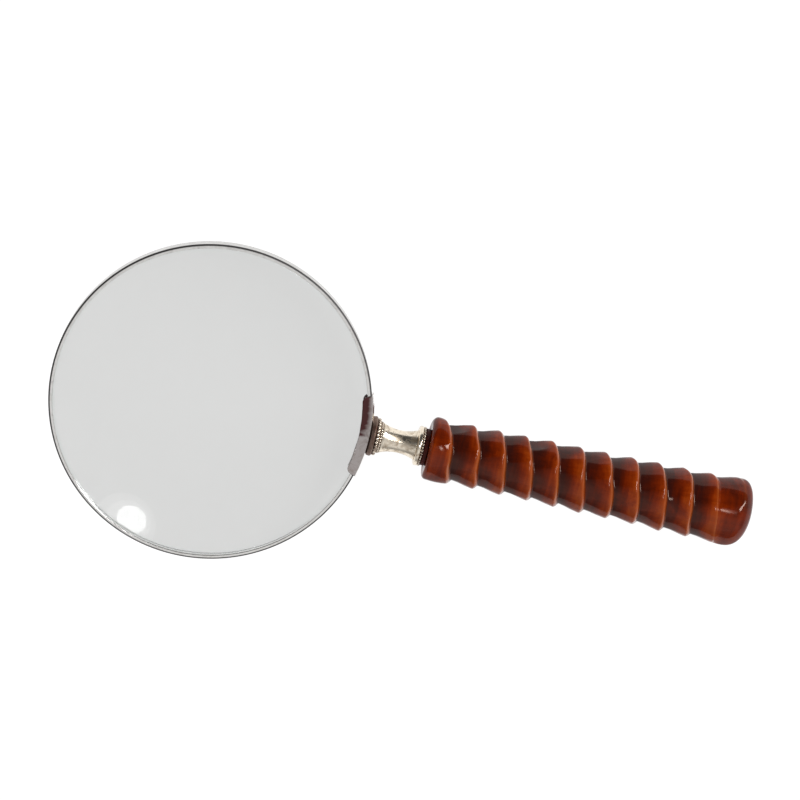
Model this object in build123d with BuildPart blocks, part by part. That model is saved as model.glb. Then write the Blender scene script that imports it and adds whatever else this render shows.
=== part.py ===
from build123d import *
import os
from math import atan2, degrees, sqrt

# Magnifying glass, in millimetres. The origin is the centre of the lens, +Z is the
# optical axis towards the viewer, and +X runs along the handle.

# --- Driving dimensions -------------------------------------------------------------

rim_radius = 57.0            # outside of the rim, a 4 1/2 inch glass
rim_width = 6.8              # along the optical axis
band_wall = 0.8
lip_reach = 1.5              # how far a lip stands in from the outside of the rim
band_corner = 0.5
split_gap = 0.3              # the joint in the band, and between the two half stubs

lens_clearance = 0.1
lens_crown_radius = 400.0    # radius of curvature of both faces
lens_bevel = 0.3

saddle_half_angle = 15.0     # the clasp reaches this far either side of the handle
saddle_wall = 0.8
saddle_flange = 0.5
saddle_reach = 3.4           # how far its flanges stand in from the outside of the rim
saddle_corner = 2.2

stub_radius = 2.2            # the threaded stub that the neck screws on to
stub_end = 66.5              # where the stub ends inside the neck
stub_clearance = 0.5         # from there to the end of the neck's bore
thread_clearance = 0.05

collar_radius = 7.2
collar_end = 59.3            # right face of the collar's base
bead_radius = 0.7            # the collar's larger beads
bead_count = 28
bead_ring_radius = 6.05
step_bead_radius = 0.5       # the collar's smaller beads
step_bead_count = 34
step_ring_radius = 5.25

neck_mouth_radius = 5.4
waist_position = 68.3
waist_radius = 4.05
neck_end = 74.4
neck_end_radius = 5.4
spigot_radius = 3.2
bore_web = 1.2               # metal left between the neck's two bores

flange_radius = 7.1
flange_seat_radius = 6.15
flange_bead_radius = 0.5
flange_bead_count = 38
flange_end = 77.0
flange_rounding = 0.7

washer_radius = 6.6
washer_end = 78.5

tang_radius = 2.0
tang_end = 122.0
tang_point = 2.0
screw_radius = 2.6           # coarse screw on the end that is cemented into the wood
screw_pitch = 2.5
screw_depth = 0.6
screw_start = 80.5

handle_start = washer_end
handle_length = 118.5
handle_start_radius = 11.5
handle_end_radius = 12.9
handle_face_rounding = 1.6
butt_dome = 4.0
butt_rounding = 4.5

ridge_pitch = 9.75           # one helical ridge, right-handed
ridge_land = 0.9             # width left at full diameter on the crest
groove_depth = 1.6
groove_step = 0.8            # width of the steep side
groove_first = 3.8           # from the handle's face to the start of the groove
groove_turns = 10.4
groove_start_turn = 210.0    # where the groove starts, in degrees round the handle

os.makedirs("parts", exist_ok=True)


def finish(builder, label):
    """Label a finished piece and write it to its own file."""
    builder.part.label = label
    export_step(builder.part, f"parts/{label}.step")


# --- Lens ---------------------------------------------------------------------------

lens_radius = rim_radius - band_wall - lens_clearance
lens_edge_half = rim_width / 2 - band_wall - lens_clearance
lens_sag = lens_crown_radius - sqrt(lens_crown_radius**2 - lens_radius**2)
lens_centre_half = lens_edge_half + lens_sag

with BuildPart() as lens:
    with BuildSketch(Plane.XZ) as lens_profile:
        with BuildLine():
            TangentArc((0, lens_centre_half), (lens_radius, lens_edge_half), tangent=(1, 0))
            Line((lens_radius, lens_edge_half), (lens_radius, -lens_edge_half))
            TangentArc((0, -lens_centre_half), (lens_radius, -lens_edge_half), tangent=(1, 0))
            Line((0, -lens_centre_half), (0, lens_centre_half))
        make_face()
        chamfer(lens_profile.vertices().group_by(Axis.X)[-1], length=lens_bevel)
    revolve(axis=Axis.Z)
finish(lens, "lens")

# --- Rim: a channel band, split where the handle is ------------------------------------

channel_depth = lip_reach - band_wall
with BuildPart() as rim_band:
    with BuildSketch(Plane.XZ) as band_section:
        with Locations((rim_radius - lip_reach / 2, 0)):
            Rectangle(lip_reach, rim_width)
        fillet(band_section.vertices().group_by(Axis.X)[-1], radius=band_corner)
        with Locations((rim_radius - lip_reach + channel_depth / 2, 0)):
            Rectangle(channel_depth, rim_width - 2 * band_wall, mode=Mode.SUBTRACT)
    revolve(axis=Axis.Z)
    with Locations((rim_radius - lip_reach / 2, 0, 0)):
        Box(2 * lip_reach, split_gap, 2 * rim_width, mode=Mode.SUBTRACT)
finish(rim_band, "rim_band")

# --- Half stubs: one brazed on each end of the band ------------------------------------

for label, side in (("rim_stub_upper", 1), ("rim_stub_lower", -1)):
    with BuildPart() as stub:
        with BuildSketch(Plane.YZ.offset(rim_radius - 1)):
            Circle(stub_radius)
            with Locations((side * (split_gap / 2 - stub_radius), 0)):
                Rectangle(2 * stub_radius, 2 * stub_radius, mode=Mode.SUBTRACT)
        extrude(amount=stub_end - rim_radius + 1)
        Cylinder(rim_radius, 3 * stub_radius, mode=Mode.SUBTRACT)
    finish(stub, label)

# --- Saddle: a clasp over the joint ----------------------------------------------------

saddle_outer = rim_radius + saddle_wall
saddle_inner = rim_radius - saddle_reach


def ring_sector(outer, inner):
    """Outline of a flat ring sector centred on the handle's direction."""
    arc = 2 * saddle_half_angle
    outside = CenterArc((0, 0), outer, -saddle_half_angle, arc)
    inside = CenterArc((0, 0), inner, -saddle_half_angle, arc)
    Line(outside @ 0, inside @ 0)
    Line(outside @ 1, inside @ 1)


front_face = Plane.XY.offset(rim_width / 2)
back_face = Plane.XY.offset(-rim_width / 2 - saddle_flange)

with BuildPart() as saddle:
    with BuildSketch(Plane.XY.offset(-rim_width / 2)):
        with BuildLine():
            ring_sector(saddle_outer, rim_radius)
        make_face()
    extrude(amount=rim_width)
    with BuildSketch(front_face, back_face) as flanges:
        with BuildLine():
            ring_sector(saddle_outer, saddle_inner)
        make_face()
        fillet(flanges.vertices().sort_by(SortBy.DISTANCE)[:2], radius=saddle_corner)
    extrude(amount=saddle_flange)
    with Locations(Location((saddle_outer, 0, 0), (0, 90, 0))):
        Cylinder(stub_radius + thread_clearance, 4 * saddle_wall, mode=Mode.SUBTRACT)
finish(saddle, "saddle")

# --- Collar: a base hollowed to the saddle, and two beaded wires -------------------------

with BuildPart() as collar_base:
    with BuildSketch(Plane.YZ.offset(saddle_outer - 1)):
        Circle(collar_radius)
        Circle(stub_radius + thread_clearance, mode=Mode.SUBTRACT)
    extrude(amount=collar_end - saddle_outer + 1)
    Cylinder(saddle_outer, 3 * collar_radius, mode=Mode.SUBTRACT)
    chamfer(collar_base.edges().sort_by(Axis.X)[-2:].sort_by(SortBy.RADIUS)[-1], length=0.25)
finish(collar_base, "collar_base")


def beaded_ring(label, centre, ring_radius, seat_radius, bead, count):
    """A wire of round beads soldered on a seat, lying in the plane at x = centre."""
    with BuildPart(Plane.YZ.offset(centre)) as ring:
        with BuildSketch(Plane.YZ.offset(centre - bead / 2)):
            Circle(ring_radius + bead / 3)
            Circle(seat_radius, mode=Mode.SUBTRACT)
        extrude(amount=bead)
        with PolarLocations(ring_radius, count):
            Sphere(bead)
        Cylinder(seat_radius, 4 * bead, mode=Mode.SUBTRACT)
    finish(ring, label)


seat_depth = 0.6             # from a bead's centre in to its seat, in bead radii
collar_seat_radius = bead_ring_radius - seat_depth * bead_radius
step_seat_radius = step_ring_radius - seat_depth * step_bead_radius
step_start = collar_end + 2 * bead_radius
neck_mouth = step_start + 2 * step_bead_radius
beaded_ring("collar_bead_ring", collar_end + bead_radius, bead_ring_radius,
            collar_seat_radius, bead_radius, bead_count)
beaded_ring("collar_step_ring", step_start + step_bead_radius, step_ring_radius,
            step_seat_radius, step_bead_radius, step_bead_count)

# --- Neck: a waisted ferrule, bored from both ends ---------------------------------------

stub_bore_end = stub_end + stub_clearance
tang_bore_start = stub_bore_end + bore_web
waist = (waist_position, waist_radius)

with BuildPart() as neck:
    with BuildSketch(Plane.XY):
        with BuildLine():
            Polyline((waist_position, 0), (collar_end, 0), (collar_end, collar_seat_radius),
                     (step_start, collar_seat_radius), (step_start, step_seat_radius),
                     (neck_mouth, step_seat_radius), (neck_mouth, neck_mouth_radius))
            TangentArc(waist, (neck_mouth, neck_mouth_radius), tangent=(-1, 0))
            TangentArc(waist, (neck_end, neck_end_radius), tangent=(1, 0))
            Polyline((neck_end, neck_end_radius), (neck_end, spigot_radius),
                     (flange_end, spigot_radius), (flange_end, 0), (waist_position, 0))
        make_face()
    revolve(axis=Axis.X)
    with BuildSketch(Plane.YZ.offset(collar_end)):
        Circle(stub_radius + thread_clearance)
    extrude(amount=stub_bore_end - collar_end, mode=Mode.SUBTRACT)
    with BuildSketch(Plane.YZ.offset(flange_end)):
        Circle(tang_radius)
    extrude(amount=tang_bore_start - flange_end, mode=Mode.SUBTRACT)
finish(neck, "neck")

# --- Flange, its beaded wire, and the washer ---------------------------------------------

flange_step = flange_end - 2 * flange_bead_radius
with BuildPart() as flange:
    with BuildSketch(Plane.XY) as flange_section:
        with Locations(((neck_end + flange_step) / 2, (spigot_radius + flange_radius) / 2)):
            Rectangle(flange_step - neck_end, flange_radius - spigot_radius)
        fillet(flange_section.vertices().group_by(Axis.Y)[-1], radius=flange_rounding)
        with Locations((flange_end - flange_bead_radius, (spigot_radius + flange_seat_radius) / 2)):
            Rectangle(2 * flange_bead_radius, flange_seat_radius - spigot_radius)
    revolve(axis=Axis.X)
finish(flange, "flange")
beaded_ring("flange_bead_ring", flange_end - flange_bead_radius, flange_radius - flange_bead_radius,
            flange_seat_radius, flange_bead_radius, flange_bead_count)

with BuildPart() as washer:
    with BuildSketch(Plane.YZ.offset(flange_end)):
        Circle(washer_radius)
        Circle(tang_radius, mode=Mode.SUBTRACT)
    extrude(amount=washer_end - flange_end)
finish(washer, "washer")

# --- Tang: a steel stud, screwed into the neck and cemented into the handle ----------------

with BuildPart() as screw_groove:
    with BuildLine():
        screw_helix = Helix(screw_pitch, tang_end - screw_start, screw_radius,
                            center=(screw_start, 0, 0), direction=(1, 0, 0))
    with BuildSketch(Plane(screw_helix @ 0, x_dir=(1, 0, 0), z_dir=screw_helix % 0)):
        with BuildLine():
            Polyline((-screw_pitch / 3, screw_depth), (screw_pitch / 3, screw_depth),
                     (0, -screw_depth), close=True)
        make_face()
    sweep(is_frenet=True)

with BuildPart() as tang:
    with BuildSketch(Plane.XY):
        with BuildLine():
            Polyline((tang_bore_start, 0), (tang_bore_start, tang_radius), (washer_end, tang_radius),
                     (washer_end, screw_radius), (tang_end - tang_point, screw_radius),
                     (tang_end, tang_radius / 2), (tang_end, 0), close=True)
        make_face()
    revolve(axis=Axis.X)
    add(screw_groove.part, mode=Mode.SUBTRACT)
finish(tang, "tang")

# --- Handle: a tapered grip with one helical ridge, right-handed ----------------------------

handle_end = handle_start + handle_length
groove_length = groove_turns * ridge_pitch
ridge_taper = degrees(atan2(handle_end_radius - handle_start_radius, handle_length))
ramp_end = ridge_pitch - ridge_land
proud = 3 * groove_depth     # the cutter stands this far outside the crest

with BuildPart() as groove:
    with BuildLine():
        ridge_helix = Helix(ridge_pitch, groove_length, handle_start_radius, cone_angle=ridge_taper,
                            center=(handle_start + groove_first, 0, 0), direction=(1, 0, 0))
    with BuildSketch(Plane(ridge_helix @ 0, x_dir=(1, 0, 0), z_dir=ridge_helix % 0)):
        with BuildLine():
            Polyline((ramp_end, 0), (ramp_end, proud), (0, proud), (0, 0), (groove_step, -groove_depth))
            ThreePointArc((groove_step, -groove_depth), (ramp_end / 2, -0.75 * groove_depth), (ramp_end, 0))
        make_face()
    sweep(is_frenet=True)

with BuildPart() as handle:
    with BuildSketch(Plane.XY) as handle_profile:
        with BuildLine():
            shoulder = (handle_end - butt_dome, handle_end_radius)
            Polyline((handle_end, 0), (handle_start, 0), (handle_start, handle_start_radius), shoulder)
            TangentArc((handle_end, 0), shoulder, tangent=(0, 1))
        make_face()
        fillet(handle_profile.vertices().sort_by(Axis.Y)[-2], radius=handle_face_rounding)
        fillet(handle_profile.vertices().sort_by(Axis.Y)[-1], radius=butt_rounding)
    revolve(axis=Axis.X)
    add(groove.part, rotation=(groove_start_turn, 0, 0), mode=Mode.SUBTRACT)
    with BuildSketch(Plane.YZ.offset(handle_start)):
        Circle(screw_radius)
    extrude(amount=tang_end - handle_start, mode=Mode.SUBTRACT)
finish(handle, "handle")
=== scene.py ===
"""Looks of a magnifying glass: lens, plated rim and clasp, beaded neck, and a carved, lacquered handle.

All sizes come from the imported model. Metres, with the lens centre at the origin, +Z the optical axis
and +X along the handle.
"""

import math
import random

import bpy
import bmesh
import numpy as np
from mathutils import Matrix, Vector, noise


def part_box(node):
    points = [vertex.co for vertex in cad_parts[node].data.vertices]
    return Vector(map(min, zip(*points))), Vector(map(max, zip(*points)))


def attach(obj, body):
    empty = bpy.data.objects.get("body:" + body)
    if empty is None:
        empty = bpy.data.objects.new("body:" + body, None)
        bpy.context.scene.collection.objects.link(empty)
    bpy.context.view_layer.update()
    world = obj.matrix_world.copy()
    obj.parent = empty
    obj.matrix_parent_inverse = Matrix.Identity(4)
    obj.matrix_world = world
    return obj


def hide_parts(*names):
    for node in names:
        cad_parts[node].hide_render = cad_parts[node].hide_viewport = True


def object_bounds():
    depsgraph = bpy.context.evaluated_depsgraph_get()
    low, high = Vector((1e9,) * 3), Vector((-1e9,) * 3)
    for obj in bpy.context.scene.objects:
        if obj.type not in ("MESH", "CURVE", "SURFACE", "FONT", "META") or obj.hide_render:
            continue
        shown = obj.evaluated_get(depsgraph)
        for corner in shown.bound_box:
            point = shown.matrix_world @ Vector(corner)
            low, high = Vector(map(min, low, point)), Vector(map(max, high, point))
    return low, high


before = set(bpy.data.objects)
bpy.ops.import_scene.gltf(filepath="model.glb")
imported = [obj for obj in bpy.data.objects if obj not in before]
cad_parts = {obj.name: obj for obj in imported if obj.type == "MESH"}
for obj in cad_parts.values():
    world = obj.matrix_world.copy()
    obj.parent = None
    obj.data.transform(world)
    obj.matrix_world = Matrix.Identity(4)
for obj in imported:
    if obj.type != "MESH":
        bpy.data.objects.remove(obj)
cad_low, cad_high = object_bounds()

MM = 0.001
TAU = 2 * math.pi
BODY = "root"
TURN_STEPS = 256                 # faces round a turned piece
ON_SURFACE = 0.01 * MM           # how near a vertex counts as lying on a surface

# --- Sizes read from the frame ----------------------------------------------------------

lens_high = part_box("lens")[1]
rim_low, rim_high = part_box("rim_band")
saddle_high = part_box("saddle")[1]
collar_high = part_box("collar_base")[1]
bead_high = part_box("collar_bead_ring")[1]
step_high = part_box("collar_step_ring")[1]
neck_low, neck_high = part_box("neck")
flange_low, flange_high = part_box("flange")
edge_low, edge_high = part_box("flange_bead_ring")
washer_low, washer_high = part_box("washer")
handle_low, handle_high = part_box("handle")
tang_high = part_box("tang")[1]

rim_radius = -rim_low.x
rim_half = rim_high.z
lens_radius = lens_high.x
lens_half = lens_high.z


# --- Mesh helpers -------------------------------------------------------------------------

def rounded(corners, arc_steps=6):
    """Points of a closed outline whose corners are (along, radius, rounding)."""
    points = []
    for i, (a, r, rounding) in enumerate(corners):
        here = Vector((a, r))
        if rounding <= 0:
            points.append(here)
            continue
        back = (Vector(corners[i - 1][:2]) - here).normalized()
        ahead = (Vector(corners[(i + 1) % len(corners)][:2]) - here).normalized()
        half = back.angle(ahead) / 2
        centre = here + (back + ahead).normalized() * rounding / math.sin(half)
        first = here + back * rounding / math.tan(half) - centre
        last = here + ahead * rounding / math.tan(half) - centre
        for k in range(arc_steps + 1):
            points.append(centre + first.lerp(last, k / arc_steps).normalized() * rounding)
    return points


def build(name, verts, faces, material):
    """A smooth closed mesh with outward normals, that rides on the one body."""
    mesh = bpy.data.meshes.new(name)
    mesh.from_pydata([tuple(v) for v in verts], [], faces)
    work = bmesh.new()
    work.from_mesh(mesh)
    bmesh.ops.recalc_face_normals(work, faces=work.faces)
    work.to_mesh(mesh)
    work.free()
    mesh.materials.append(material)
    mesh.shade_smooth()
    piece = bpy.data.objects.new(name, mesh)
    bpy.context.scene.collection.objects.link(piece)
    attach(piece, BODY)
    return piece


def weigh_normals(piece):
    """Keeps long flat faces flat beside small roundings."""
    weighted = piece.modifiers.new("weighted_normals", "WEIGHTED_NORMAL")
    weighted.keep_sharp = False
    weighted.weight = 80


def place(axis, along, radius, angle):
    """A point at a height along an axis, a radius from it and an angle round it."""
    if axis == "X":
        return (along, radius * math.cos(angle), radius * math.sin(angle))
    return (radius * math.cos(angle), radius * math.sin(angle), along)


def lathe(name, outline, material, axis="X", start=0.0, sweep=TAU, steps=TURN_STEPS):
    """Turns a closed outline of (along, radius) points about an axis. A point on the axis is a pole."""
    whole = abs(sweep - TAU) < 1e-9
    columns = steps if whole else steps + 1
    verts, rows = [], []
    for along, radius in outline:
        first = len(verts)
        if radius < 1e-9:
            verts.append(place(axis, along, 0, 0))
            rows.append([first] * columns)
            continue
        for j in range(columns):
            verts.append(place(axis, along, radius, start + sweep * j / steps))
        rows.append(list(range(first, first + columns)))
    faces = []
    for i, row in enumerate(rows):
        other = rows[(i + 1) % len(rows)]
        for j in range(steps):
            k = (j + 1) % columns
            face = []
            for v in (row[j], row[k], other[k], other[j]):
                if v not in face:
                    face.append(v)
            if len(face) > 2:
                faces.append(face)
    if not whole:
        faces.append([row[0] for row in rows])
        faces.append([row[-1] for row in rows])
    piece = build(name, verts, faces, material)
    weigh_normals(piece)
    return piece


def smooth(value, low, high):
    """Rises from 0 to 1 between two values, level at both."""
    t = np.clip((value - low) / (high - low), 0, 1)
    return t * t * (3 - 2 * t)


def paint(piece, name, values):
    """Stores one number for each vertex, for the piece's material to read."""
    layer = piece.data.attributes.new(name, "FLOAT", "POINT")
    layer.data.foreach_set("value", np.asarray(values, np.float32))


# --- Material helpers ----------------------------------------------------------------------

class Shade:
    """A material's nodes, made one after another."""

    def __init__(self, name):
        self.material = bpy.data.materials.new(name)
        self.material.use_nodes = True
        self.tree = self.material.node_tree
        self.tree.nodes.clear()
        self.output = self.node("ShaderNodeOutputMaterial")
        self.surface = self.node("ShaderNodeBsdfPrincipled")
        self.link(self.surface.outputs[0], self.output.inputs["Surface"])
        self.place = self.node("ShaderNodeTexCoord").outputs["Object"]

    def node(self, kind, **settings):
        made = self.tree.nodes.new(kind)
        for key, value in settings.items():
            setattr(made, key, value)
        return made

    def link(self, source, socket):
        self.tree.links.new(source, socket)

    def set(self, **values):
        """Sets sockets of the surface. A name's underscores stand for spaces."""
        for key, value in values.items():
            self.surface.inputs[key.replace("_", " ")].default_value = value

    def stretch(self, scale, turn=(0, 0, 0)):
        """The place on the piece, scaled and turned, for drawn-out textures."""
        mapping = self.node("ShaderNodeMapping")
        mapping.inputs["Scale"].default_value = scale
        mapping.inputs["Rotation"].default_value = turn
        self.link(self.place, mapping.inputs["Vector"])
        return mapping.outputs[0]

    def noise(self, scale, detail=4.0, rough=0.55, at=None, distortion=0.0):
        made = self.node("ShaderNodeTexNoise")
        made.inputs["Scale"].default_value = scale
        made.inputs["Detail"].default_value = detail
        made.inputs["Roughness"].default_value = rough
        made.inputs["Distortion"].default_value = distortion
        self.link(at or self.place, made.inputs["Vector"])
        return made.outputs["Fac"]

    def ramp(self, source, stops):
        """A colour ramp with stops of (position, colour)."""
        made = self.node("ShaderNodeValToRGB")
        band = made.color_ramp
        while len(band.elements) < len(stops):
            band.elements.new(0.5)
        for element, (position, colour) in zip(band.elements, stops):
            element.position = position
            element.color = (*colour, 1.0)
        self.link(source, made.inputs[0])
        return made.outputs[0]

    def range(self, source, low, high, to_low, to_high):
        """The source's span from low to high, mapped to another span and held at its ends."""
        made = self.node("ShaderNodeMapRange")
        ends = {"From Min": low, "From Max": high, "To Min": to_low, "To Max": to_high}
        for socket, value in ends.items():
            made.inputs[socket].default_value = value
        self.link(source, made.inputs["Value"])
        return made.outputs[0]

    def math(self, operation, first, second):
        made = self.node("ShaderNodeMath", operation=operation)
        for socket, value in zip(made.inputs, (first, second)):
            if isinstance(value, (int, float)):
                socket.default_value = value
            else:
                self.link(value, socket)
        return made.outputs[0]

    def mix(self, factor, first, second, blend="MIX"):
        made = self.node("ShaderNodeMix", data_type="RGBA", blend_type=blend)
        for socket, value in ((made.inputs[0], factor), (made.inputs[6], first), (made.inputs[7], second)):
            if isinstance(value, (int, float)):
                socket.default_value = value
            elif isinstance(value, tuple):
                socket.default_value = (*value, 1.0)
            else:
                self.link(value, socket)
        return made.outputs[2]

    def painted(self, name):
        return self.node("ShaderNodeAttribute", attribute_name=name).outputs["Fac"]

    def bump(self, height, distance, strength=1.0, after=None):
        made = self.node("ShaderNodeBump")
        made.inputs["Strength"].default_value = strength
        made.inputs["Distance"].default_value = distance
        self.link(height, made.inputs["Height"])
        if after:
            self.link(after, made.inputs["Normal"])
        return made.outputs[0]

    def give(self, socket, source):
        self.link(source, self.surface.inputs[socket])


# --- Materials ------------------------------------------------------------------------------

def plated(name, colour, tarnish, rough, pits, tarnished=0.35, cavity=None, layers=()):
    """Silver or nickel plate: cloudy polish, fine scratches, pits, and tarnish in patches and hollows.

    Each layer is a painted attribute, the colour it brings, the two values it comes in between and
    how much rougher it leaves the metal. Layers carry stains, burnish, painted shade, painted reflections and
    painted highlights.
    """
    s = Shade(name)
    cloud = s.noise(260, 6, 0.6, distortion=0.6)
    patch = s.noise(280, 5, 0.7, distortion=1.0)
    pit = s.node("ShaderNodeTexVoronoi")
    pit.inputs["Scale"].default_value = 1500
    s.link(s.place, pit.inputs["Vector"])
    here = s.range(s.noise(420, 2), 0.5, 0.66, 0.0, 1.0)
    hole = s.math("MULTIPLY", s.range(pit.outputs["Distance"], 0.0, 0.3, 1.0, 0.0), here)
    pitted = s.math("MULTIPLY", hole, min(1.0, 0.6 * pits))
    dirt = s.math("MAXIMUM", s.range(patch, 0.47, 0.64, 0.0, tarnished), pitted)
    if cavity:
        deep = s.range(s.painted(cavity), 0.04, 0.5, 0.0, 1.0)
        dirt = s.math("MAXIMUM", dirt, s.math("MULTIPLY", deep, s.range(cloud, 0.25, 0.7, 0.75, 1.0)))
    bright = tuple(min(1.0, c * 1.06) for c in colour)
    tone = s.mix(s.range(cloud, 0.3, 0.7, 0.0, 1.0), colour, bright)
    tone = s.mix(dirt, tone, tarnish)
    polish = s.range(cloud, 0.25, 0.75, rough * 0.75, rough * 1.35)
    polish = s.math("ADD", polish, s.math("MULTIPLY", dirt, 0.28))
    for attribute, layer_colour, low, high, roughen in layers:
        amount = s.range(s.painted(attribute), low, high, 0.0, 1.0)
        tone = s.mix(amount, tone, layer_colour)
        polish = s.math("ADD", polish, s.math("MULTIPLY", amount, roughen))
    s.give("Base Color", tone)
    s.give("Roughness", polish)
    scratch = s.noise(900, 3, 0.5, at=s.stretch((0.25, 1.0, 1.6), (0.3, 0.2, 0.5)))
    first = s.bump(s.math("MULTIPLY", hole, -1.0), 0.05 * MM, pits)
    second = s.bump(scratch, 0.004 * MM, 0.6, after=first)
    s.give("Normal", s.bump(cloud, 0.02 * MM, 0.25, after=second))
    s.set(Metallic=1.0)
    return s.material


def glass():
    """Clear crown glass that lets lamps through, so that it casts the light shadow of real glass.

    Seen at a low angle it turns into a plain clear pane, because its closed edge would look black.
    """
    s = Shade("lens_glass")
    s.tree.nodes.remove(s.surface)
    clear = s.node("ShaderNodeBsdfGlass")
    clear.inputs["IOR"].default_value = 1.52
    smear = s.noise(35, 3, 0.5, distortion=0.8)
    s.link(s.range(smear, 0.55, 0.85, 0.0, 0.004), clear.inputs["Roughness"])
    edge = s.range(s.painted("rim_distance"), 0.0, 1.0, 0.0, 1.0)
    s.link(s.mix(edge, (0.812, 0.814, 0.811), (0.775, 0.787, 0.781)), clear.inputs["Color"])
    through = s.node("ShaderNodeBsdfTransparent")
    through.inputs["Color"].default_value = (0.88, 0.88, 0.88, 1.0)
    pane = s.node("ShaderNodeBsdfTransparent")
    pane.inputs["Color"].default_value = (0.93, 0.93, 0.93, 1.0)
    low_view = s.node("ShaderNodeMixShader")
    facing = s.node("ShaderNodeLayerWeight").outputs["Facing"]
    inside = s.math("SUBTRACT", 1.0, edge)
    s.link(s.math("MULTIPLY", s.range(facing, 0.32, 0.60, 0.0, 0.75), inside), low_view.inputs[0])
    s.link(clear.outputs[0], low_view.inputs[1])
    s.link(pane.outputs[0], low_view.inputs[2])
    blend = s.node("ShaderNodeMixShader")
    lamps = s.node("ShaderNodeLightPath").outputs["Is Shadow Ray"]
    s.link(lamps, blend.inputs[0])
    s.link(low_view.outputs[0], blend.inputs[1])
    s.link(through.outputs[0], blend.inputs[2])
    s.link(blend.outputs[0], s.output.inputs["Surface"])
    return s.material


def lacquer():
    """Amber lacquer over carved wood: thin and bright on the crests, pooled and dark in the grooves, with
    painted shade darker towards +Y.
    """
    s = Shade("handle_lacquer")
    ring_streak = s.noise(1.0, 4, 0.6, at=s.stretch((520, 50, 50)), distortion=0.4)
    mottle = s.noise(95, 4, 0.55, distortion=0.8)
    grain = s.noise(1.0, 5, 0.65, at=s.stretch((30, 800, 800)), distortion=0.3)
    # The painted value holds the groove's depth and painted shade, darker towards +Y.
    depth = s.math("ADD", s.painted("carve_and_side_shade"), s.math("MULTIPLY", s.math("SUBTRACT", mottle, 0.5), 1.25))
    depth = s.math("ADD", depth, s.math("MULTIPLY", s.math("SUBTRACT", ring_streak, 0.5), 0.7))
    tone = s.ramp(depth, [
        (0.00, (0.250, 0.0350, 0.0025)), (0.12, (0.205, 0.0230, 0.0012)), (0.35, (0.135, 0.0120, 0.0006)),
        (0.65, (0.070, 0.0070, 0.0015)), (1.00, (0.032, 0.0055, 0.0035))])
    darker = s.mix(s.range(grain, 0.4, 0.75, 0.0, 0.45), tone, (0.50, 0.38, 0.30), "MULTIPLY")
    worn = s.math("MULTIPLY", s.painted("crest"), s.range(mottle, 0.3, 0.7, 0.25, 0.7))
    s.give("Base Color", s.mix(worn, darker, (0.40, 0.100, 0.020)))
    s.give("Roughness", s.range(mottle, 0.2, 0.8, 0.08, 0.15))
    facing = s.node("ShaderNodeLayerWeight").outputs["Facing"]
    gloss = s.range(facing, 0.25, 0.70, 0.30, 0.03)
    polished = s.range(s.painted("crest"), 0.25, 0.9, 0.0, 0.55)
    s.give("Specular IOR Level", s.math("MAXIMUM", gloss, polished))
    ripple = s.noise(150, 2, 0.4)
    first = s.bump(grain, 0.02 * MM, 0.2)
    s.give("Normal", s.bump(ripple, 0.08 * MM, 0.2, after=first))
    s.set(Specular_Tint=(1.0, 0.76, 0.66, 1.0))
    return s.material


def leather():
    """Dark red leather, dull and finely grained."""
    s = Shade("washer_leather")
    grain = s.noise(700, 6, 0.6)
    s.give("Base Color", s.ramp(grain, [(0.3, (0.045, 0.006, 0.005)), (0.7, (0.120, 0.022, 0.014))]))
    s.give("Roughness", s.range(grain, 0.3, 0.7, 0.45, 0.75))
    s.give("Normal", s.bump(grain, 0.08 * MM, 0.5))
    s.set(Specular_IOR_Level=0.2)
    return s.material


def turned(name, colour, rough):
    """Bare turned metal, with the tool's fine rings along the handle's direction."""
    s = Shade(name)
    rings = s.noise(1.0, 3, 0.5, at=s.stretch((2600, 40, 40)))
    s.give("Base Color", s.mix(s.range(rings, 0.3, 0.7, 0.0, 1.0), tuple(c * 0.8 for c in colour), colour))
    s.give("Roughness", s.range(rings, 0.3, 0.7, rough * 0.8, rough * 1.2))
    s.give("Normal", s.bump(rings, 0.02 * MM, 0.4))
    s.set(Metallic=1.0)
    return s.material


def light_table():
    """Pale acrylic lit from below, so that no shadow lies on it."""
    s = Shade("floor_acrylic")
    cloud = s.noise(4, 2, 0.5)
    s.give("Base Color", s.ramp(cloud, [(0.3, (0.115, 0.115, 0.115)), (0.7, (0.125, 0.125, 0.125))]))
    s.set(Roughness=0.9, Specular_IOR_Level=0.0)
    s.give("Emission Color", s.ramp(cloud, [(0.3, (0.955, 0.955, 0.955)), (0.7, (0.965, 0.965, 0.965))]))
    s.surface.inputs["Emission Strength"].default_value = 1.0
    return s.material


SILVER = (0.80, 0.79, 0.77)
WORN = (0.44, 0.40, 0.39)
NICKEL = (0.84, 0.75, 0.62)
TAN = (0.34, 0.25, 0.16)
BROWN = (0.10, 0.042, 0.030)
GREY = (0.30, 0.25, 0.22)
# Dark grey of the rim's painted shade.
PAINTED_SHADE = (0.09, 0.085, 0.085)
MAROON = (0.085, 0.034, 0.034)
BRIGHT = (0.95, 0.94, 0.93)

# The rim's painted shade darkens its rolled lips and, less, its outer wall.
rim_plate = plated("rim_plate", SILVER, GREY, 0.12, 0.3, 0.2, layers=[("painted_rim_shade", PAINTED_SHADE, 0.0, 1.0, 0.45)])
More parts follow.
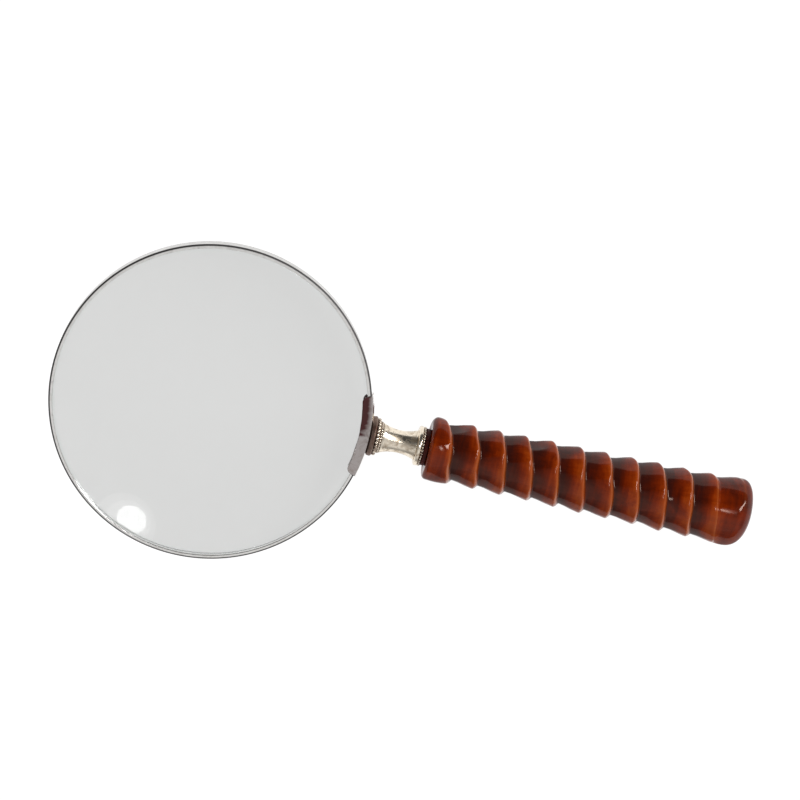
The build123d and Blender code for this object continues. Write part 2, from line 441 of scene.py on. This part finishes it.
# The saddle's maroon is partly a stain, partly a painted reflection; its bright bevels are partly burnish,
# partly a painted highlight.
saddle_plate = plated("saddle_plate", WORN, GREY, 0.22, 0.6, 0.6,
                      layers=[("stain_and_reflection", MAROON, 0.04, 0.45, 0.05), ("burnish_and_highlight", BRIGHT, 0.3, 0.7, -0.1)])
neck_plate = plated("neck_plate", NICKEL, TAN, 0.20, 1.5, 0.8)
bead_plate = plated("bead_plate", NICKEL, BROWN, 0.22, 0.5, 0.85, cavity="hollow")
lens_glass = glass()
handle_lacquer = lacquer()
washer_leather = leather()
stub_brass = turned("stub_brass", (0.72, 0.52, 0.22), 0.3)
tang_steel = turned("tang_steel", (0.42, 0.42, 0.43), 0.35)

hidden = {"rim_stub_upper": stub_brass, "rim_stub_lower": stub_brass, "tang": tang_steel}
for node, material in hidden.items():
    for material_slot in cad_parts[node].material_slots:
        material_slot.material = material

# --- Lens -----------------------------------------------------------------------------------

LENS_SEAT = 1.0 * MM             # from the rim's face in to the edge of the glass's face
EDGE_TINT = 1.8 * MM             # width of the darker band at the lens's edge
lens_edge = rim_half - LENS_SEAT
crown = (lens_radius**2 + (lens_half - lens_edge)**2) / (2 * (lens_half - lens_edge))


def lens_face(radius):
    """Height of the glass's face above its middle plane."""
    return lens_half - crown + math.sqrt(crown**2 - radius**2)


LENS_RINGS = 60
face_radii = [lens_radius * k / LENS_RINGS for k in range(LENS_RINGS + 1)]
lens_outline = [(lens_face(r), r) for r in face_radii]
lens_outline += [(-lens_face(r), r) for r in reversed(face_radii)]
lens = lathe("lens_glass_body", lens_outline, lens_glass, axis="Z")
lens_radii = [math.hypot(v.co.x, v.co.y) for v in lens.data.vertices]
paint(lens, "rim_distance", [max(0.0, 1 - (lens_radius - r) / EDGE_TINT) for r in lens_radii])
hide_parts("lens")

# --- Rim band ---------------------------------------------------------------------------------

LIP = 1.5 * MM                   # how far a lip stands in from the outside of the rim
WALL = 0.8 * MM
ROLL = 0.67 * MM                 # rounding of the rolled lips
TIP_ROLL = 0.25 * MM             # and of their inner edges
CHANNEL_ROLL = 0.1 * MM
GAP = 0.3 * MM                   # the joint in the band, under the saddle
RIM_STEPS = 360
# Painted shade on the rim: how dark its rolled lips and its outer wall are painted.
EDGE_SHADE, WALL_SHADE = 1.0, 0.35
inner = rim_radius - LIP
wall = rim_radius - WALL
floor_z = rim_half - WALL
band_outline = rounded([
    (-rim_half, inner, TIP_ROLL), (-rim_half, rim_radius, ROLL), (rim_half, rim_radius, ROLL),
    (rim_half, inner, TIP_ROLL), (floor_z, inner, CHANNEL_ROLL), (floor_z, wall, CHANNEL_ROLL),
    (-floor_z, wall, CHANNEL_ROLL), (-floor_z, inner, CHANNEL_ROLL)])
half_gap = GAP / 2 / rim_radius
rim = lathe("rim_channel", band_outline, rim_plate, axis="Z", start=half_gap, sweep=TAU - 2 * half_gap,
            steps=RIM_STEPS)
# The rolled lips get the most painted shade, the outer wall some, the rest none.
rim_shade = []
for vertex in rim.data.vertices:
    out = math.hypot(vertex.co.x, vertex.co.y)
    rolled = out > rim_radius - ROLL + ON_SURFACE and abs(vertex.co.z) > rim_half - ROLL + ON_SURFACE
    rim_shade.append(EDGE_SHADE if rolled else WALL_SHADE if out > rim_radius - ON_SURFACE else 0.0)
paint(rim, "painted_rim_shade", rim_shade)
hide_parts("rim_band")

# --- Saddle -------------------------------------------------------------------------------------

SADDLE_STEPS = 120
SADDLE_REACH = 3.4 * MM          # how far its lips stand in from the outside of the rim
SADDLE_LEAST = 0.9 * MM          # and what is left of that at its two ends
SADDLE_CORNER = 2.3 * MM         # rounding of the lips at both ends
SADDLE_ROUND = 0.22 * MM         # rounding of the lips' edges
SADDLE_PLAY = 0.02 * MM          # between the clasp and the rim
BEVEL_IN, BEVEL_DOWN = 0.50 * MM, 0.60 * MM
BEVEL_ROUND = 0.12 * MM
UNEVEN_LIP = 0.12 * MM
saddle_radius = saddle_high.x
saddle_half = saddle_high.z
saddle_angle = math.asin(saddle_high.y / saddle_radius)
web_inner = rim_radius + SADDLE_PLAY


def saddle_section(reach):
    """Closed U-shaped section, with lips reaching in from the rim's outside."""
    tip = rim_radius - reach
    lip = rim_half + SADDLE_PLAY
    return rounded([
        (saddle_half, tip, SADDLE_ROUND),
        (saddle_half, saddle_radius - BEVEL_IN, BEVEL_ROUND),
        (saddle_half - BEVEL_DOWN, saddle_radius, BEVEL_ROUND),
        (BEVEL_DOWN - saddle_half, saddle_radius, BEVEL_ROUND),
        (-saddle_half, saddle_radius - BEVEL_IN, BEVEL_ROUND),
        (-saddle_half, tip, SADDLE_ROUND),
        (-lip, tip, 0.05 * MM), (-lip, web_inner, 0), (lip, web_inner, 0), (lip, tip, 0.05 * MM)], 4)


def saddle_mesh():
    """The section swept along the rim, its lips rounded off at both ends and a little uneven."""
    rows = []
    for j in range(SADDLE_STEPS + 1):
        angle = saddle_angle * (2 * j / SADDLE_STEPS - 1)
        from_end = (saddle_angle - abs(angle)) * rim_radius
        rest = max(0.0, 1 - from_end / SADDLE_CORNER)
        cut = SADDLE_CORNER * (1 - math.sqrt(max(0.0, 1 - rest**2)))
        wavy = UNEVEN_LIP * noise.noise((angle * 14, 3.1, 0.4))
        section = saddle_section(max(SADDLE_LEAST, SADDLE_REACH - cut + wavy))
        rows.append([place("Z", a, r, angle) for a, r in section])
    count = len(rows[0])
    verts = [v for row in rows for v in row]
    faces = []
    for j in range(SADDLE_STEPS):
        for i in range(count):
            k = (i + 1) % count
            faces.append((j * count + i, j * count + k, (j + 1) * count + k, (j + 1) * count + i))
    faces.append(tuple(range(count)))
    faces.append(tuple(range(SADDLE_STEPS * count, (SADDLE_STEPS + 1) * count)))
    piece = build("saddle_clasp", verts, faces, saddle_plate)
    # The maroon lies on the lips, not on the bevels, and mostly towards +Y: partly a stain, partly a painted
    # reflection.
    stain_and_reflection = []
    for x, y, z in verts:
        inside = smooth(saddle_radius - math.hypot(x, y), 0.9 * MM, 1.6 * MM)
        patchy = 0.5 + 0.9 * noise.noise((x * 450, y * 420, z * 300))
        streaky = 0.5 + 0.9 * noise.noise((x * 100, y * 1300, z * 100))
        upper = smooth(y + 3 * MM * patchy + 2 * MM * (streaky - 0.5), -1 * MM, 6 * MM)
        stain_and_reflection.append(float(inside * upper * np.clip(0.65 + 0.2 * patchy + 0.3 * streaky, 0, 1)))
    paint(piece, "stain_and_reflection", stain_and_reflection)
    # The bevels are painted bright: partly burnish, partly a painted highlight.
    edge, down = saddle_radius - BEVEL_IN - 0.05 * MM, saddle_half - BEVEL_DOWN
    paint(piece, "burnish_and_highlight", [float(math.hypot(x, y) > edge and abs(z) > down) for x, y, z in verts])
    weigh_normals(piece)
    return piece


saddle = saddle_mesh()
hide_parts("saddle")

# --- Collar, neck, flange and washer -----------------------------------------------------------

BEAD_STEPS, BEAD_AROUND = 18, 20
WIRE_SHARE = 0.38                # thickness of the wire between two beads, in beads


def beaded_wire(name, node, seat, beads, seed):
    """A ring of beads worked as one closed skin: a wire whose thickness swells at each bead.

    No bead reaches in past the seat. The painted value is how deep each spot lies between the beads.
    """
    low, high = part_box(node)
    size = (high.x - low.x) / 2
    centre = (high.x + low.x) / 2
    ring = high.y - size
    rng = random.Random(seed)
    grow = [1 - 0.10 * rng.random() for _ in range(beads)]
    turn = [0.10 * (rng.random() - 0.5) for _ in range(beads)]
    verts, hollow = [], []
    count = beads * BEAD_STEPS
    for j in range(count):
        bead, part = divmod(j, BEAD_STEPS)
        across = part / BEAD_STEPS - 0.5
        offset = across * 2 + turn[bead] * math.cos(math.pi * across)
        swell = math.sqrt(max(0.0, 1 - offset**2)) * grow[bead]
        thick = size * max(WIRE_SHARE, swell)
        angle = TAU * j / count
        for i in range(BEAD_AROUND):
            tilt = TAU * i / BEAD_AROUND
            out = max(ring + thick * math.cos(tilt), seat)
            verts.append(place("X", centre + thick * math.sin(tilt), out, angle))
            hollow.append(max(1 - swell, 0.9 - (out - seat) / (ring + size - seat)))
    faces = []
    for j in range(count):
        for i in range(BEAD_AROUND):
            k, m = (i + 1) % BEAD_AROUND, (j + 1) % count
            faces.append((j * BEAD_AROUND + i, j * BEAD_AROUND + k, m * BEAD_AROUND + k, m * BEAD_AROUND + i))
    piece = build(name, verts, faces, bead_plate)
    paint(piece, "hollow", hollow)
    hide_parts(node)
    return piece


collar_radius = collar_high.y
seat_radius = bead_high.y - 1.12 * MM
step_seat = step_high.y - 0.8 * MM
flange_seat = edge_high.y - 0.95 * MM
bore = 2.25 * MM
SINK = 0.25 * MM                 # the collar's flat start, before it is hollowed to the saddle
FACE_DIRT, SIDE_DIRT = 0.85, 0.75
base_outline = rounded([
    (saddle_radius - SINK, bore, 0), (saddle_radius - SINK, collar_radius - 0.2 * MM, 0.1 * MM),
    (collar_high.x - 0.5 * MM, collar_radius, 0.2 * MM), (collar_high.x, collar_radius - 0.4 * MM, 0.2 * MM),
    (collar_high.x, bore, 0)])
collar = lathe("collar_seat", base_outline, bead_plate)
# The flat start, with the rounding at its edge, is bent to lie on the round saddle.
for vertex in collar.data.vertices:
    if vertex.co.x < saddle_radius - 0.1 * MM:
        hollowed = math.sqrt(saddle_radius**2 - vertex.co.y**2)
        vertex.co.x += hollowed - (saddle_radius - SINK)
collar_radii = [math.hypot(v.co.y, v.co.z) for v in collar.data.vertices]
paint(collar, "hollow", [FACE_DIRT if r < collar_radius - 0.3 * MM else SIDE_DIRT for r in collar_radii])
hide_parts("collar_base")

beaded_wire("collar_beads", "collar_bead_ring", seat_radius, 28, seed=11)
beaded_wire("collar_step_beads", "collar_step_ring", step_seat, 34, seed=12)
beaded_wire("flange_beads", "flange_bead_ring", flange_seat, 38, seed=13)

mouth_x = step_high.x
mouth_radius = 5.4 * MM
waist_x = 68.3 * MM
waist_radius = 4.05 * MM
neck_foot_x = flange_low.x
neck_foot_radius = 5.4 * MM
spigot = 3.2 * MM


def trumpet(to_x, to_radius, steps=26):
    """Points of the arc that leaves the waist level and ends at (to_x, to_radius)."""
    run, rise = to_x - waist_x, to_radius - waist_radius
    arc = (run**2 + rise**2) / (2 * rise)
    points = []
    for k in range(steps + 1):
        x = run * k / steps
        points.append((waist_x + x, waist_radius + arc - math.sqrt(arc**2 - x**2)))
    return points


neck_outline = [
    (neck_low.x, bore), (neck_low.x, seat_radius), (bead_high.x, seat_radius), (bead_high.x, step_seat),
    (mouth_x, step_seat), (mouth_x, mouth_radius - 0.15 * MM), (mouth_x + 0.15 * MM, mouth_radius),
    (mouth_x + 0.35 * MM, mouth_radius - 0.05 * MM)]
neck_outline += list(reversed(trumpet(mouth_x + 0.5 * MM, mouth_radius - 0.22 * MM)))
neck_outline += trumpet(neck_foot_x, neck_foot_radius)[1:]
neck_outline += [(neck_foot_x, spigot), (neck_high.x, spigot), (neck_high.x, bore)]
neck = lathe("neck_ferrule", neck_outline, neck_plate)
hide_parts("neck")

flange_radius = flange_high.y
flange_outline = rounded([
    (flange_low.x, spigot, 0), (flange_low.x, flange_radius - 0.9 * MM, 0.2 * MM),
    (flange_low.x + 0.25 * MM, flange_radius, 0.55 * MM), (edge_low.x, flange_radius, 0.45 * MM),
    (edge_low.x, flange_seat, 0), (flange_high.x, flange_seat, 0), (flange_high.x, spigot, 0)])
flange = lathe("flange_plate", flange_outline, neck_plate)
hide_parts("flange")

washer_radius = washer_high.y
washer_bore = 2.0 * MM
washer_outline = rounded([
    (washer_low.x, washer_bore, 0), (washer_low.x, washer_radius, 0.3 * MM),
    (washer_high.x, washer_radius, 0.3 * MM), (washer_high.x, washer_bore, 0)])
washer = lathe("leather_washer", washer_outline, washer_leather)
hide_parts("washer")

# --- Handle -------------------------------------------------------------------------------------

PITCH = 9.75 * MM
CARVE_DEPTH = 1.6 * MM
FIRST_EDGE = 3.8 * MM            # from the handle's face to where the groove starts
FIRST_TURN = 210 / 360           # and the part of a turn where it starts
GROOVE_TURNS = 10.4
EDGES = 11                       # crest edges along one line of the grip
LAND_TONE = 0.42                 # how dark the lacquer is on the uncut ends of the grip
PAINTED_SIDE_SHADE = 0.14                 # and how much darker towards +Y than towards -Y, as painted shade
FACE_ROUNDING = 1.4 * MM         # of the edge next to the washer
FACE_EXTRA = 0.45                # how much more it is towards +Y
BUTT_LENGTH = 7.5 * MM
BUTT_SLANT = 2.5 * MM            # how much longer the butt's rounding is towards -Y
BUTT_POWER = 2.4                 # 2 would make the butt's rounding an ellipse
BOW = 0.40 * MM                  # crown of the uncut lands
WOBBLE = 0.7 * MM                # how far the hand-cut edges wander
FACETS = 9                       # knife cuts in one turn
FACET_SHIFT = 0.64               # how far the cuts are turned, in cuts
FACET_SLANT = 0.35               # and how far one slants between two edges
DEEP_CUT = 1.7                   # depth of the two broad flats, in the depth of a polygon's side
DEEP_FACETS = (2, 29)            # the two broad flats, on the grip's +Y side
ENTRY = 0.12                     # how soon the groove reaches its full depth, in turns
RUN_OUT = 0.4                    # and over how many turns it runs out
CREST_WIDTH = 0.55 * MM          # of the worn line along each edge
COLUMNS = 216                    # lines of vertices along the grip
FACE_ROWS, TOOTH_ROWS, BUTT_ROWS = 32, 32, 60
handle_length = handle_high.x - handle_low.x
start_radius = 11.5 * MM
end_radius = 12.9 * MM

# One tooth, in millimetres from its steep edge, and the share of the depth that is cut away there.
tooth = rounded([
    (-2.0, 0.0, 0), (-0.15, 0.0, 2.0), (0.9, 1.0, 0.4), (3.2, 0.80, 2.0), (6.2, 0.34, 3.0),
    (8.6, 0.03, 1.0), (9.75, 0, 0)])
tooth_x = [p[0] * MM for p in tooth]
tooth_y = [p[1] for p in tooth]


def crowd(u, amount):
    """Spreads even steps from 0 to 1 so that they crowd towards both ends."""
    return u - amount * np.sin(TAU * u) / TAU


def crest_outline(s, angle):
    """Radius of the uncarved grip at a distance from its face, with its rounded face and butt."""
    side = start_radius + (end_radius - start_radius) * s / handle_length
    corner = FACE_ROUNDING * (1 + FACE_EXTRA * max(0.0, math.cos(angle))**2)
    near = np.clip(1 - s / corner, 0, 1)
    side = side - corner * (1 - np.sqrt(1 - near**2))
    butt = BUTT_LENGTH - BUTT_SLANT * math.cos(angle)
    past = np.clip((s - handle_length + butt) / butt, 0, 1)
    return side * (1 - past**BUTT_POWER) ** (1 / BUTT_POWER)


def noise_at(angle, along, scale, offset):
    """Smooth noise on the grip's skin, the same on both sides of the seam."""
    spot = Vector((math.cos(angle), math.sin(angle), along)) * scale + Vector((offset, 0, 3))
    return noise.noise(spot)


def column(angle):
    """Distances along the grip, the tooth's profile and the turns travelled, down one line of the grip."""
    turn = ((angle - math.pi / 2) / TAU - FIRST_TURN) % 1.0
    edges = []
    for k in range(EDGES):
        wander = WOBBLE * noise_at(angle, (k + turn) * 0.7, 1.2, 0)
        edges.append(FIRST_EDGE + PITCH * (k + turn) + wander)
    u = np.arange(FACE_ROWS) / FACE_ROWS
    s = [edges[0] * (1 - np.cos(math.pi / 2 * crowd(u, 0.5)))]
    along = [s[0] - edges[0]]
    lap = [np.full(FACE_ROWS, -1)]
    u = crowd(np.arange(TOOTH_ROWS) / TOOTH_ROWS, 0.72)
    for k in range(EDGES - 1):
        s.append(edges[k] + (edges[k + 1] - edges[k]) * u)
        along.append(PITCH * u)
        lap.append(np.full(TOOTH_ROWS, k))
    u = np.arange(BUTT_ROWS) / BUTT_ROWS
    s.append(edges[-1] + (handle_length - edges[-1]) * np.sin(math.pi / 2 * crowd(u, 0.6)))
    along.append(s[-1] - edges[-1])
    lap.append(np.full(BUTT_ROWS, EDGES - 1))
    return np.concatenate(s), np.concatenate(along), np.concatenate(lap) + turn


facet_dice = random.Random(5)
facet_depths = [facet_dice.uniform(0.05, 0.45) for _ in range(FACETS * (EDGES + 2))]
for deep in DEEP_FACETS:
    facet_depths[deep + FACETS] = DEEP_CUT


def facet_cut(travelled, along, crest):
    """Depth of the knife's flats, which run on along the ridge from turn to turn."""
    place_on = (travelled + 1) * FACETS + FACET_SHIFT + FACET_SLANT * along / PITCH
    which = np.clip(np.floor(place_on).astype(int), 0, len(facet_depths) - 1)
    across = (place_on - np.floor(place_on) - 0.5) * TAU / FACETS
    depth = np.array(facet_depths)[which]
    depth = np.where(depth == DEEP_CUT, DEEP_CUT * (1 - smooth(along, 0.45 * PITCH, 0.85 * PITCH)), depth)
    return crest * (1 - math.cos(math.pi / FACETS) / np.cos(across)) * depth


def groove_share(travelled):
    """How much of its full depth the groove has, by the turns travelled along it."""
    return smooth(travelled, 0.0, ENTRY) * (1 - smooth(travelled, GROOVE_TURNS - RUN_OUT, GROOVE_TURNS))


def grip_line(angle):
    """Distances along the grip, radii, the painted depth with painted shade towards +Y, and crest, down one
    line of the grip.
    """
    s, along, travelled = column(angle)
    crest = crest_outline(s, angle)
    # Close to an edge the tooth begins before it, so the profile is read on both sides.
    ahead = np.where(along > PITCH - 2 * MM, along - PITCH, along)
    here = np.interp(along, tooth_x, tooth_y)
    following = np.interp(ahead, tooth_x, tooth_y)
    entry = groove_share(travelled)
    entry_next = groove_share(travelled + 1)
    before = along < 0
    cut = np.where(before, here * entry_next, np.maximum(here * entry, following * entry_next * (ahead < 0)))
    first_part = smooth(along, 0, 0.12 * PITCH)
    own = facet_cut(travelled, np.clip(along, 0, PITCH), crest)
    previous = facet_cut(travelled - 1, np.full_like(along, PITCH), crest)
    blended = own * first_part + previous * (1 - first_part)
    flats = np.where(before, facet_cut(travelled, PITCH + along, crest), blended)
    uneven = np.array([noise_at(angle, x / (9 * MM), 1.5, 7) for x in s])
    before_butt = np.minimum(1, (handle_length - s) / BUTT_LENGTH)
    ends = before_butt * smooth(s, 0, 2 * FACE_ROUNDING)
    radius = crest - CARVE_DEPTH * cut * (1 + 0.12 * uneven) * before_butt
    radius = radius - ends * (flats * (1 - 0.5 * cut) + 0.12 * MM * np.clip(0.5 + uneven, 0, 1))
    land = np.where(before, s / (s - along), along / (handle_length - s + along))
    crowned = before | (travelled >= EDGES - 1)
    radius = radius - np.where(crowned, BOW * (2 * np.clip(land, 0, 1) - 1) ** 2, BOW)
    from_edge = np.minimum(np.abs(along), np.abs(along - PITCH))
    tone = np.where(before, LAND_TONE * smooth(-along, -MM, 3 * MM), cut)
    tone = np.where(travelled >= EDGES - 1, np.maximum(cut, LAND_TONE * smooth(along, -2 * MM, 4 * MM)), tone)
    # Painted shade: darker towards +Y and lighter towards -Y, more so towards the butt.
    tone = tone + PAINTED_SIDE_SHADE * math.cos(angle) * (0.6 + 0.8 * s / handle_length)
    return s, radius, tone, np.exp(-((from_edge / CREST_WIDTH) ** 2)) * np.where(before, entry_next, entry)


def zip_lines(left, left_s, right, right_s):
    """Triangles between two lines of vertices that start and end side by side."""
    faces, i, j = [], 0, 0
    while i < len(left) - 1 or j < len(right) - 1:
        if j == len(right) - 1 or (i < len(left) - 1 and left_s[i + 1] <= right_s[j + 1]):
            faces.append((left[i], left[i + 1], right[j]))
            i += 1
        else:
            faces.append((left[i], right[j + 1], right[j]))
            j += 1
    return faces


def handle_mesh():
    """The grip's skin. Its rows follow the ridge, so they are one pitch further along after each turn."""
    verts, carve_and_side_shade, crests, lines, distances = [], [], [], [], []
    seam = math.pi / 2 + TAU * FIRST_TURN
    angles = [seam + TAU * (j + 0.5) / COLUMNS for j in range(COLUMNS)]
    for angle in angles:
        # The third value is the painted depth, with painted shade towards +Y.
        s, radius, cut, crest = grip_line(angle)
        first = len(verts)
        verts += [place("X", handle_low.x + x, r, angle) for x, r in zip(s, radius)]
        carve_and_side_shade += list(cut)
        crests += list(crest)
        lines.append(list(range(first, len(verts))))
        distances.append(s)
    faces = []
    for j in range(COLUMNS - 1):
        a, b = lines[j], lines[j + 1]
        faces += [(a[i], b[i], b[i + 1], a[i + 1]) for i in range(len(a) - 1)]
    # Where the last line meets the first, the rows differ by one pitch, and the two ends are zipped.
    a, b = lines[-1], lines[0]
    low, high = FACE_ROWS, FACE_ROWS + TOOTH_ROWS * (EDGES - 2)
    for i in range(low, high):
        faces.append((a[i], b[i + TOOTH_ROWS], b[i + TOOTH_ROWS + 1], a[i + 1]))
    faces += zip_lines(a[:low + 1], distances[-1], b[:low + TOOTH_ROWS + 1], distances[0])
    next_high = high + TOOTH_ROWS
    faces += zip_lines(a[high:], distances[-1][high:], b[next_high:], distances[0][next_high:])
    tip = len(verts)
    verts.append((handle_high.x, 0, 0))
    faces += [(lines[j][-1], lines[(j + 1) % COLUMNS][-1], tip) for j in range(COLUMNS)]
    # The face round the tang's hole, and the hole itself.
    before = [line[0] for line in lines]
    for along in (0.0, tang_high.x - handle_low.x):
        ring = list(range(len(verts), len(verts) + COLUMNS))
        verts += [place("X", handle_low.x + along, tang_high.y, angle) for angle in angles]
        for j in range(COLUMNS):
            k = (j + 1) % COLUMNS
            faces.append((before[j], before[k], ring[k], ring[j]))
        before = ring
    faces.append(tuple(before))
    piece = build("carved_grip", verts, faces, handle_lacquer)
    missing = len(verts) - len(carve_and_side_shade)
    paint(piece, "carve_and_side_shade", carve_and_side_shade + [0.5] * missing)
    paint(piece, "crest", crests + [0.0] * missing)
    return piece


handle = handle_mesh()
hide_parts("handle")

# --- Floor, light and camera ----------------------------------------------------------------------

FLOOR_SIZE = 6.0
LAMP_DISTANCE = 1.2
LIE = 9 * MM                     # from the butt's tip to where the grip touches the floor
touch = Vector((handle_high.x - LIE, 0, handle_low.z))


def make_floor():
    """A level sheet under the lowest point of the grip."""
    mesh = bpy.data.meshes.new("floor")
    half = FLOOR_SIZE / 2
    corners = [(-half, -half, 0), (half, -half, 0), (half, half, 0), (-half, half, 0)]
    mesh.from_pydata(corners, [], [(0, 1, 2, 3)])
    mesh.materials.append(light_table())
    floor = bpy.data.objects.new("floor", mesh)
    bpy.context.scene.collection.objects.link(floor)
    floor.location = touch
    return floor


floor = make_floor()

centre = (cad_low + cad_high) / 2
length = (cad_high - cad_low).x


def direction(azimuth, elevation):
    """Unit vector from azimuth and elevation in degrees."""
    a, e = math.radians(azimuth), math.radians(elevation)
    return Vector((math.cos(e) * math.cos(a), math.cos(e) * math.sin(a), math.sin(e)))


def aim(thing, towards, up):
    """Turns a lamp or camera so that it looks along one direction with another upwards."""
    back = -towards.normalized()
    right = up.cross(back).normalized()
    turn = Matrix((right, back.cross(right), back)).transposed()
    thing.rotation_euler = turn.to_euler()


def panel(name, azimuth, elevation, width, height, radiance):
    """A soft light of an even brightness, seen from the object in one direction."""
    lamp = bpy.data.lights.new(name, "AREA")
    lamp.shape = "RECTANGLE"
    lamp.size, lamp.size_y = width, height
    lamp.energy = radiance * math.pi * width * height
    box = bpy.data.objects.new(name, lamp)
    bpy.context.scene.collection.objects.link(box)
    box.location = centre + direction(azimuth, elevation) * LAMP_DISTANCE
    aim(box, centre - box.location, Vector((0, 0, 1)))
    box.visible_camera = False
    return box


# A tall strip for the ridges, and a round lamp with a soft halo that shows in the lens.
panel("key", 43, 40, 0.20, 0.90, 22)
ROUND_LAMPS = (                  # name, azimuth, elevation, width, radiance
    ("lamp", 58.0, 76.3, 0.12, 9),
    ("halo_near", 57.0, 75.5, 0.18, 1.6),
    ("halo_far", 56.0, 74.8, 0.25, 1.2))
for name, azimuth, elevation, size, radiance in ROUND_LAMPS:
    panel(name, azimuth, elevation, size, size, radiance).data.shape = "DISK"

# The room is dark, paler at the horizon, with a pale wall beyond each end of the object and one
# large soft glow on its -Y side.
world = bpy.data.worlds.new("studio")
bpy.context.scene.world = world
world.use_nodes = True
tree = world.node_tree
backdrop = tree.nodes["Background"]
backdrop.inputs["Strength"].default_value = 1.0
gaze = tree.nodes.new("ShaderNodeTexCoord")


def graded(value, stops):
    """A grey ramp over a socket's value, with stops of (value, light)."""
    made = tree.nodes.new("ShaderNodeValToRGB")
    band = made.color_ramp
    while len(band.elements) < len(stops):
        band.elements.new(0.5)
    for element, (position, light) in zip(band.elements, stops):
        element.position = position
        element.color = (light, light, light, 1.0)
    tree.links.new(value, made.inputs[0])
    return made.outputs[0]


split = tree.nodes.new("ShaderNodeSeparateXYZ")
tree.links.new(gaze.outputs["Generated"], split.inputs[0])
room = graded(split.outputs["Z"], [(0.0, 0.14), (0.2, 0.06), (0.6, 0.03), (1.0, 0.03)])


def nearness(azimuth, elevation):
    """How nearly the gaze points in a direction, as a cosine."""
    made = tree.nodes.new("ShaderNodeVectorMath")
    made.operation = "DOT_PRODUCT"
    tree.links.new(gaze.outputs["Generated"], made.inputs[0])
    made.inputs[1].default_value = direction(azimuth, elevation)
    return made.outputs["Value"]


def added(first, second):
    """The sum of two lights."""
    made = tree.nodes.new("ShaderNodeMix")
    made.data_type = "RGBA"
    made.blend_type = "ADD"
    made.inputs[0].default_value = 1.0
    tree.links.new(first, made.inputs[6])
    tree.links.new(second, made.inputs[7])
    return made.outputs[2]


glow = graded(nearness(-80, 55), [(0.50, 0.0), (0.70, 0.22), (0.85, 0.45), (0.93, 0.75)])
for azimuth in (-5, 195):
    room = added(room, graded(nearness(azimuth, 15), [(0.60, 0.0), (0.85, 0.40)]))
tree.links.new(added(room, glow), backdrop.inputs["Color"])

VIEW_AZIMUTH = 109.9             # the camera stands a little towards +Y from the optical axis
VIEW_ELEVATION = 76.6
VIEW_ROLL = math.radians(13.07)  # the handle points down to the right
VIEW_DISTANCE = 4.18             # in lengths of the object
LOOK_AT = Vector((-0.0187, 0.0584, 0))   # from the object's centre, in lengths

camera_data = bpy.data.cameras.new("camera")
camera_data.sensor_width = 36
camera_data.lens = 135
camera = bpy.data.objects.new("camera", camera_data)
bpy.context.scene.collection.objects.link(camera)
towards = -direction(VIEW_AZIMUTH, VIEW_ELEVATION)
camera.location = centre + LOOK_AT * length - towards * VIEW_DISTANCE * length
level = (Vector((0, 1, 0)) - towards * towards.y).normalized()
side = towards.cross(level)
aim(camera, towards, level * math.cos(VIEW_ROLL) - side * math.sin(VIEW_ROLL))
bpy.context.scene.camera = camera
bpy.context.scene.view_settings.view_transform = "Standard"
